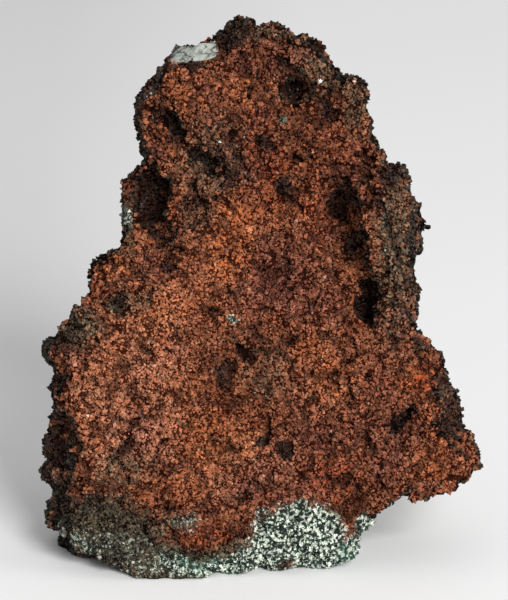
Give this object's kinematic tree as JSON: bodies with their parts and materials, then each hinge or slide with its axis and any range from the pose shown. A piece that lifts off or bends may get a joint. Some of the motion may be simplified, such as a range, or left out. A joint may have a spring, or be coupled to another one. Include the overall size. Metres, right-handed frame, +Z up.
{
  "type": "cuprite mineral specimen",
  "caption": "Rough, broken stone with a red-brown crust of tiny crystals on its front and pale green speckled rock at its foot, cut flat below so that it stands upright.",
  "frame": {"origin": "middle of the bounding box's underside, on the flat base", "axes": "+Z up, +X to the viewer's right, -Y towards whoever looks at the crusted face"},
  "size_m": [0.0616, 0.037, 0.0752],
  "materials": {
    "cuprite_rock": "rough, with small glossy crystals"
  },
  "bodies": {
    "root": {"cuprite_specimen": "cuprite_rock"}
  },
  "joints": []
}
